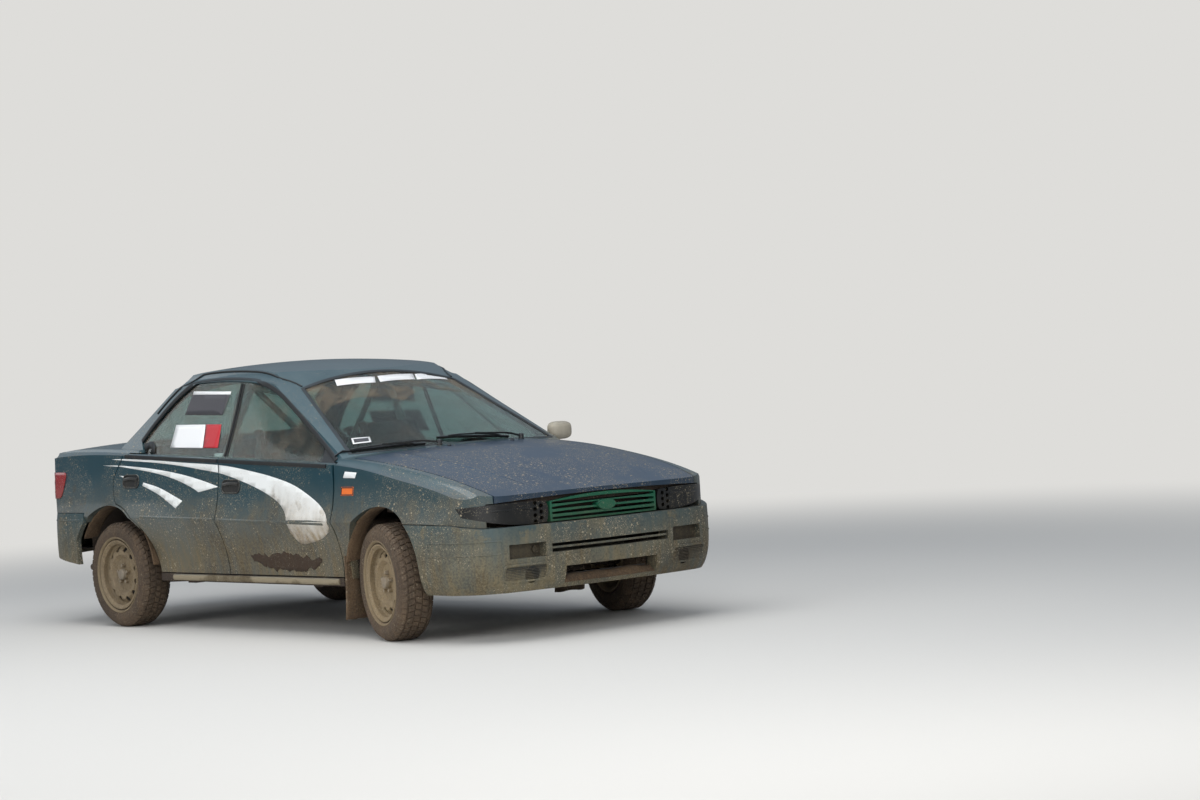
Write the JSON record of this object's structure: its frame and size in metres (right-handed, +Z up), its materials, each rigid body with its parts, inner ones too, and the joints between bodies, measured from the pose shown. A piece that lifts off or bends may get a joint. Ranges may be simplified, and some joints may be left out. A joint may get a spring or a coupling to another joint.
{
  "type": "rally car",
  "caption": "Four-door rally saloon with frameless door glass, roll cage, steel wheels, blanked headlamps, opening doors, hood and boot lid, steered front wheels",
  "frame": {"origin": "on the ground, on the car's centre line, 45 mm behind the middle of the wheelbase", "axes": "+X forward, +Y to the car's left, +Z up"},
  "size_m": [4.2715, 1.7986, 1.4393],
  "materials": {
    "body_paint": "satin",
    "hood_paint": "satin",
    "floor_paint": "matte",
    "bumper_plastic": "matte",
    "black_trim": "matte",
    "grille_green": "satin",
    "clear_glass": "gloss",
    "red_lens": "gloss",
    "orange_lens": "gloss",
    "wheel_paint": "matte",
    "tyre_rubber": "matte",
    "chassis_steel": "matte",
    "cage_paint": "gloss",
    "seat_fabric": "matte",
    "dash_plastic": "matte",
    "wheel_leather": "matte",
    "pipe_steel": "brushed",
    "flap_rubber": "matte",
    "guard_alloy": "brushed",
    "mirror_shell": "satin"
  },
  "bodies": {
    "body": {"boot_pan": "floor_paint", "cabin_frame": "body_paint", "dashboard": "dash_plastic", "engine": "chassis_steel", "engine_bay": "floor_paint", "exhaust": "pipe_steel", "floor_pan": "floor_paint", "front_bumper": "bumper_plastic", "front_crossmember": "chassis_steel", "front_seats": "seat_fabric", "front_wing_left": "body_paint", "front_wing_right": "body_paint", "fuel_tank": "black_trim", "grille": "grille_green", "headlamp_covers": "black_trim", "mud_flaps": "flap_rubber", "rear_bumper": "bumper_plastic", "rear_suspension": "chassis_steel", "rear_window": "clear_glass", "roll_cage": "cage_paint", "side_indicators": "orange_lens", "steering_wheel": "wheel_leather", "sump_guard": "guard_alloy", "tail_lamps": "red_lens", "windscreen": "clear_glass", "wipers": "black_trim"},
    "steering_knuckle_right": {"front_knuckle_right": "chassis_steel"},
    "wheel_front_right": {"front_rim_right": "wheel_paint", "front_tyre_right": "tyre_rubber"},
    "wheel_rear_right": {"rear_rim_right": "wheel_paint", "rear_tyre_right": "tyre_rubber"},
    "door_front_right": {"front_door_right": "body_paint", "front_door_glass_right": "clear_glass", "front_door_trim_right": "black_trim"},
    "door_rear_right": {"rear_door_right": "body_paint", "rear_door_glass_right": "clear_glass", "rear_door_trim_right": "black_trim"},
    "steering_knuckle_left": {"front_knuckle_left": "chassis_steel"},
    "wheel_front_left": {"front_rim_left": "wheel_paint", "front_tyre_left": "tyre_rubber"},
    "wheel_rear_left": {"rear_rim_left": "wheel_paint", "rear_tyre_left": "tyre_rubber"},
    "door_front_left": {"front_door_left": "body_paint", "front_door_glass_left": "clear_glass", "front_door_trim_left": "black_trim", "mirror_left": "mirror_shell"},
    "door_rear_left": {"rear_door_left": "body_paint", "rear_door_glass_left": "clear_glass", "rear_door_trim_left": "black_trim"},
    "hood_panel": {"hood": "hood_paint"},
    "boot_panel": {"boot_lid": "body_paint"}
  },
  "joints": [
    {"name": "steer_right", "type": "hinge", "parent": "body", "child": "steering_knuckle_right", "pos_m": [1.305, -0.69, 0.222], "axis": [-0.0285, 0.196, 0.9802], "range_deg": [-17, 47]},
    {"name": "spin_front_right", "type": "hinge", "parent": "steering_knuckle_right", "child": "wheel_front_right", "pos_m": [1.28977, -0.73359, 0.29528], "axis": [0.2535, 0.9672, 0.0139], "continuous": true},
    {"name": "spin_rear_right", "type": "hinge", "parent": "body", "child": "wheel_rear_right", "pos_m": [-1.215, -0.73, 0.296], "axis": [0, 1, 0], "continuous": true},
    {"name": "open_front_door_right", "type": "hinge", "parent": "body", "child": "door_front_right", "pos_m": [0.872, -0.822, 0.55], "axis": [0, 0, 1], "range_deg": [0, 65]},
    {"name": "open_rear_door_right", "type": "hinge", "parent": "body", "child": "door_rear_right", "pos_m": [-0.191, -0.822, 0.55], "axis": [0, 0, 1], "range_deg": [0, 65]},
    {"name": "steer_left", "type": "hinge", "parent": "body", "child": "steering_knuckle_left", "pos_m": [1.305, 0.69, 0.222], "axis": [-0.0285, -0.196, 0.9802], "range_deg": [-17, 47]},
    {"name": "spin_front_left", "type": "hinge", "parent": "steering_knuckle_left", "child": "wheel_front_left", "pos_m": [1.32011, 0.7325, 0.29594], "axis": [0.2539, 0.9672, 0.0008], "continuous": true},
    {"name": "spin_rear_left", "type": "hinge", "parent": "body", "child": "wheel_rear_left", "pos_m": [-1.215, 0.73, 0.296], "axis": [0, 1, 0], "continuous": true},
    {"name": "open_front_door_left", "type": "hinge", "parent": "body", "child": "door_front_left", "pos_m": [0.872, 0.822, 0.55], "axis": [0, 0, -1], "range_deg": [0, 65]},
    {"name": "open_rear_door_left", "type": "hinge", "parent": "body", "child": "door_rear_left", "pos_m": [-0.191, 0.822, 0.55], "axis": [0, 0, -1], "range_deg": [0, 65]},
    {"name": "raise_hood", "type": "hinge", "parent": "body", "child": "hood_panel", "pos_m": [0.962, 0, 0.955], "axis": [0, -1, 0], "range_deg": [0, 60]},
    {"name": "raise_boot_lid", "type": "hinge", "parent": "body", "child": "boot_panel", "pos_m": [-1.47, 0, 1.03], "axis": [0, 1, 0], "range_deg": [0, 75]}
  ],
  "couplings": [
    {"joint": "steer_left", "follows": "steer_right", "ratio": 1}
  ]
}
